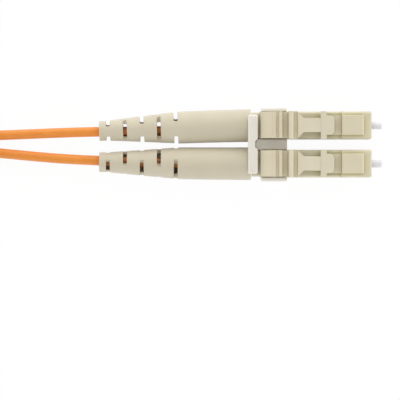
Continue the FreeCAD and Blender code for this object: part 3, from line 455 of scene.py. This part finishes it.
# Distance from the axis at angle t is the sleeve's radius, or in a slot the distance of its flat floor
# from the axis over the cosine of t, whichever is less.
def bootMesh(name, place):
    behind, slot = bootRows()
    angle = np.arange(boots["columns"]) * 2 * math.pi / boots["columns"]
    outer = np.repeat(bootRadius(behind)[:, None], len(angle), axis=1)
    inner = np.interp(behind, *zip(*boots["bore"]))[:, None] + np.zeros_like(outer)
    for number in range(boots["slots"]):
        middle = boots["slotFirst"] + number * boots["slotPitch"]
        across = np.abs(np.cos(angle if number % 2 == 0 else angle - math.pi / 2))
        across = np.maximum(across, 0.001)
        floor = bootRadius(middle) * boots["slotShare"]
        offset = np.abs(behind - middle)
        half, lip, turn = boots["slotWide"] / 2, boots["lip"], boots["slotRound"]
        corner = np.clip(offset - (half - turn), 0, turn)
        depth = floor + turn - np.sqrt(turn**2 - corner**2)
        within = (slot == number)[:, None]
        outer = np.where(within, np.minimum(outer, depth[:, None] / across), outer)
        close = ((offset < half + lip) & (slot == -1))[:, None]
        opened = np.clip((outer - floor / across) / boots["lipFade"], 0, 1)
        drop = lip * (1 - np.clip((offset - half) / lip, 0, 1)) ** 2
        outer = np.where(close, outer - drop[:, None] * opened, outer)
    outer = np.maximum(outer, inner)
    cut = outer - inner < 1e-6  # where a slot goes through into the bore

    lean, roll = math.radians(place["lean"]), math.radians(place["roll"])
    back = np.array([-math.cos(lean), -math.sin(lean), 0])
    side = np.array([-math.sin(lean), math.cos(lean), 0])
    up = np.array([0, 0, 1])
    bend = math.radians(place["bend"]) * np.sign(lean) * (behind**2 / boots["long"] - behind)
    sheets = []
    for radius in (outer, inner):
        y = radius * np.cos(angle + roll)
        z = radius * np.sin(angle + roll)
        line = np.array(place["front"]) + behind[:, None] * back - bend[:, None] * side
        sheets.append(line[:, None, :] + y[..., None] * side + z[..., None] * up)
    rows, columns = outer.shape
    corner = np.arange(rows * columns).reshape(rows, columns)
    following = np.roll(corner, -1, axis=1)
    quads = np.stack([corner[:-1], corner[1:], following[1:], following[:-1]], axis=-1)
    cutBeside = np.roll(cut, -1, axis=1)
    keep = quads[~(cut[:-1] & cut[1:] & cutBeside[1:] & cutBeside[:-1])]
    under = keep[:, ::-1] + rows * columns
    ends = []
    for row, way in ((0, 1), (rows - 1, -1)):
        ring = np.stack([corner[row], following[row]], axis=-1)
        ring = np.concatenate([ring, ring[:, ::-1] + rows * columns], axis=1)
        ends.append(ring[:, ::way])
    faces = np.concatenate([keep, under, *ends])
    points = np.concatenate([s.reshape(-1, 3) for s in sheets]) * mm
    data = bpy.data.meshes.new(name)
    data.from_pydata(points.tolist(), [], faces.tolist())
    work = bmesh.new()
    work.from_mesh(data)
    bmesh.ops.remove_doubles(work, verts=work.verts, dist=boots["joined"] * mm)
    loose = [v for v in work.verts if not v.link_faces]
    bmesh.ops.delete(work, geom=loose, context="VERTS")
    bmesh.ops.recalc_face_normals(work, faces=work.faces)
    work.to_mesh(data)
    work.free()
    shadeSmooth(data, boots["smooth"])
    return data


for tag in "ab":
    data = bootMesh("bootSleeve_" + tag, boots[tag])
    addPiece(data.name, data, "boot_elastomer", "connector", ["boot_" + tag])
    print("boot", tag, len(data.polygons), "faces")


# tie: a hook-and-loop strip wound once round the hank, its end lapped over its start

strap = {
    "middle": (-73.7, 0.0, 4.5),
    "wide": 5.0,
    "thick": 0.42,
    "halfY": 3.45,
    "halfZ": 4.28,
    "square": 5.0,  # how boxy the ring is
    "start": -20.0,  # degrees, from the +y side
    "turn": 395.0,
    "lapFrom": 330.0,  # degrees after the start where the end begins to step outwards
    "lapOver": 30.0,
    "slimEnd": 0.004,  # share of the length over which each end thins
    "steps": 320,
    "edgeSteps": 5,
    "smooth": 50,
}


# Rings of a rounded strip section carried along a boxy loop: y and z are the cosine and the sine to a
# power under one, and the loop steps outwards by the strip's thickness where it passes its start.
def strapMesh(name):
    along = np.linspace(0, 1, strap["steps"])
    angle = math.radians(strap["start"]) + along * math.radians(strap["turn"])
    power = 2 / strap["square"]
    unitY = np.sign(np.cos(angle)) * np.abs(np.cos(angle)) ** power
    unitZ = np.sign(np.sin(angle)) * np.abs(np.sin(angle)) ** power
    passed = np.degrees(angle) - strap["start"] - strap["lapFrom"]
    lapped = np.clip(passed / strap["lapOver"], 0, 1)
    out = strap["thick"] * lapped**2 * (3 - 2 * lapped)
    y, z = unitY * (strap["halfY"] + out), unitZ * (strap["halfZ"] + out)
    line = np.stack([np.zeros_like(y), y, z], axis=1)
    step = np.gradient(line, axis=0)
    step /= np.linalg.norm(step, axis=1, keepdims=True)
    outward = np.stack([np.zeros_like(y), step[:, 2], -step[:, 1]], axis=1)
    half, round_ = strap["wide"] / 2, strap["thick"] / 2
    bow = np.linspace(-math.pi / 2, math.pi / 2, strap["edgeSteps"] + 2)
    flat = np.linspace(-half + round_, half - round_, 9)[1:-1]
    right = np.stack([half - round_ + round_ * np.cos(bow), round_ * np.sin(bow)], axis=1)
    top = np.stack([flat[::-1], np.full(len(flat), round_)], axis=1)
    left = -right
    bottom = np.stack([flat, np.full(len(flat), -round_)], axis=1)
    ring = np.concatenate([right, top, left, bottom])
    slim = np.sqrt(np.clip(np.minimum(along, 1 - along) / strap["slimEnd"], 0.02, 1))
    rings = (
        np.array(strap["middle"])
        + line[:, None, :]
        + ring[None, :, :1] * np.array([1.0, 0, 0])
        + (ring[None, :, 1] * slim[:, None])[..., None] * outward[:, None, :]
    )
    return tubeMesh(name, rings, strap["smooth"])


tie = addPiece("hankStrap", strapMesh("hankStrap"), "tie_plastic", "connector", ["hank_tie"])
print("tie wound")


# cords: each leg leaves its boot and folds into the hank behind

cordLook = {
    "diameter": 1.6,
    "length": 0.5,  # metres
    "ringSteps": 5,
    "lineSteps": 6,
}

hankShape = {
    "middle": -73.7,
    "run": 32.0,  # between the centres of the end loops
    "tieHalf": 2.5,
    "lift": 0.5,  # height of the cords over the tie
    "step": 1.6,  # one layer to the next
    "low": 0.8,  # height of the lowest layer's middle
    "climb": (0.4, 0.6),  # shares of a step gained by the two sides of the tie
    "loopPoints": 10,
}

legs = {
    "a": {
        "start": [
            (-9.696, 2.907, 2.75), (-17.4, 2.1, 2.75), (-29.773, 2.170, 2.75),
            (-47.2, 1.45, 0.95), (-53.6, 1.42, 0.8),
        ],
        "loop": 6.4,
        "waist": 2.4,
        "turns": 4,
        "lastX": -80.0,
        "lastOut": 0.7,  # how far the end lies outside the waist
        "endsBack": False,
    },
    "b": {
        "start": [
            (-9.700, -3.063, 2.75), (-29.789, -2.852, 2.75),
            (-47.2, -1.15, 0.95), (-53.6, -0.72, 0.8),
        ],
        "loop": 4.8,
        "waist": 0.8,
        "turns": 4,
        "lastX": -67.2,
        "lastOut": 0.5,
        "endsBack": True,
    },
}


# One end loop: points a little outside a circle about the loop's centre, so that the curve runs on it.
def loopPoints(centre, radius, away, startSign, z):
    apart = hankShape["run"] / 2 - hankShape["tieHalf"]
    near = math.hypot(apart, away)
    slope = math.asin(radius / near) - math.atan2(away, apart)
    half = math.pi / 2 + slope
    count = hankShape["loopPoints"]
    step = 2 * half / count
    turn = half - step * (np.arange(count) + 0.5)
    side = 1 if centre > hankShape["middle"] else -1
    out = radius / math.cos(step / 2)
    x = centre + side * out * np.cos(turn)
    y = startSign * out * np.sin(turn)
    return np.stack([x, y, np.full(count, z)], axis=1)


# The whole line of one cord: its leg, then turns of left loop, way back, right loop and way out.
def cordLine(leg):
    mid, half, step, low = (hankShape[k] for k in ("middle", "tieHalf", "step", "low"))
    left, right = mid - hankShape["run"] / 2, mid + hankShape["run"] / 2
    lift, waist = hankShape["lift"], leg["waist"]
    line = [np.array(leg["start"])]
    for turn in range(leg["turns"] + 1):
        z = low + step * turn
        line.append(np.array([(mid + half, waist, z + lift), (mid - half, waist, z + lift)]))
        if turn == leg["turns"] and not leg["endsBack"]:
            line.append(np.array([(leg["lastX"], waist + leg["lastOut"], z)]))
            break
        line.append(loopPoints(left, leg["loop"], waist, 1, z))
        climb = 0 if turn == leg["turns"] else step
        before, after = (climb * share for share in hankShape["climb"])
        line.append(np.array([
            (mid - half, -waist, z + lift + before),
            (mid + half, -waist, z + lift + after),
        ]))
        if turn == leg["turns"]:
            line.append(np.array([(leg["lastX"], -waist - leg["lastOut"], z)]))
            break
        line.append(loopPoints(right, leg["loop"], waist, -1, z + climb))
    return np.concatenate(line) * mm


def buildCord(name, leg, replaced):
    points = cordLine(leg)
    curve = bpy.data.curves.new(name, "CURVE")
    curve.dimensions = "3D"
    spline = curve.splines.new("NURBS")
    spline.points.add(len(points) - 1)
    spline.points.foreach_set("co", np.column_stack([points, np.ones(len(points))]).ravel())
    spline.order_u = 3
    spline.use_endpoint_u = True
    curve.resolution_u = cordLook["lineSteps"]
    curve.bevel_depth = cordLook["diameter"] / 2 * mm
    curve.bevel_resolution = cordLook["ringSteps"]
    curve.use_fill_caps = True
    cord = addPiece(name, curve, "cord_jacket", "connector", replaced)


buildCord("cordLegA", legs["a"], ["cord_a", "cord_hank"])
buildCord("cordLegB", legs["b"], ["cord_b"])
print("cords laid")


# floor: near white to the camera and in mirrors and glass, pale to all other light

floorLook = {
    "half": 3.0,  # metres from the middle to each edge
    "glow": 0.955,
    "lit": 0.05,  # the part that takes the object's shadow
    "bounce": (246, 246, 246),
}

floorMesh = bpy.data.meshes.new("floor")
half = floorLook["half"]
corners = [(-half, -half, 0), (half, -half, 0), (half, half, 0), (-half, half, 0)]
floorMesh.from_pydata(corners, [], [(0, 1, 2, 3)])
floor = bpy.data.objects.new("floor", floorMesh)
scene.collection.objects.link(floor)

floorPaint = bpy.data.materials.new("floorPaint")
floorPaint.use_nodes = True
tree = floorPaint.node_tree
tree.nodes.remove(tree.nodes["Principled BSDF"])
glow = node(tree, "Emission", {"Color": (1, 1, 1, 1), "Strength": floorLook["glow"]})
thin = node(tree, "BsdfDiffuse", {"Color": (*[floorLook["lit"]] * 3, 1)})
seen = node(tree, "AddShader", {0: glow.outputs[0], 1: thin.outputs[0]})
plain = node(tree, "BsdfDiffuse", {"Color": tone(*floorLook["bounce"])})
ray = node(tree, "LightPath").outputs
bent = {0: ray["Is Glossy Ray"], 1: ray["Is Transmission Ray"]}
mirrored = node(tree, "Math", bent, operation="MAXIMUM").outputs[0]
direct = node(tree, "Math", {0: ray["Is Camera Ray"], 1: mirrored}, operation="MAXIMUM")
mix = node(tree, "MixShader", {0: direct.outputs[0], 1: plain.outputs[0], 2: seen.outputs[0]})
give(tree, tree.nodes["Material Output"].inputs["Surface"], mix.outputs[0])
floorMesh.materials.append(floorPaint)


# light: an even room, brighter low down, most of all on the +X +Y side

room = {
    "base": 0.63,  # strength straight overhead
    "low": 1.15,  # what is added at the horizon
    "lowSharp": 1.5,
    "tilt": (0.03, 0.05, 0.0),
    "window": (0.25, 0.93, 0.08),  # where the brightest part stands
    "windowLight": 1.4,
    "windowSharp": 5.0,
}

world = bpy.data.worlds.new("room")
scene.world = world
world.use_nodes = True
tree = world.node_tree


def sums(operation, *values, **settings):
    inputs = dict(enumerate(values))
    return node(tree, "Math", inputs, operation=operation, **settings).outputs[0]


def along(direction):
    both = {0: toward, 1: direction}
    return node(tree, "VectorMath", both, operation="DOT_PRODUCT").outputs["Value"]


toward = node(tree, "TexCoord").outputs["Generated"]
height = node(tree, "SeparateXYZ", {0: toward}).outputs["Z"]
low = sums("POWER", sums("SUBTRACT", 1.0, height, use_clamp=True), room["lowSharp"])
level = sums("ADD", sums("MULTIPLY_ADD", low, room["low"], room["base"]), along(room["tilt"]))
size = math.sqrt(sum(v * v for v in room["window"]))
facing = sums("MAXIMUM", along([v / size for v in room["window"]]), 0.0)
window = sums("POWER", facing, room["windowSharp"])
level = sums("MULTIPLY_ADD", window, room["windowLight"], level)
give(tree, tree.nodes["Background"].inputs["Color"], (1, 1, 1, 1))
give(tree, tree.nodes["Background"].inputs["Strength"], level)

scene.view_settings.view_transform = "Standard"
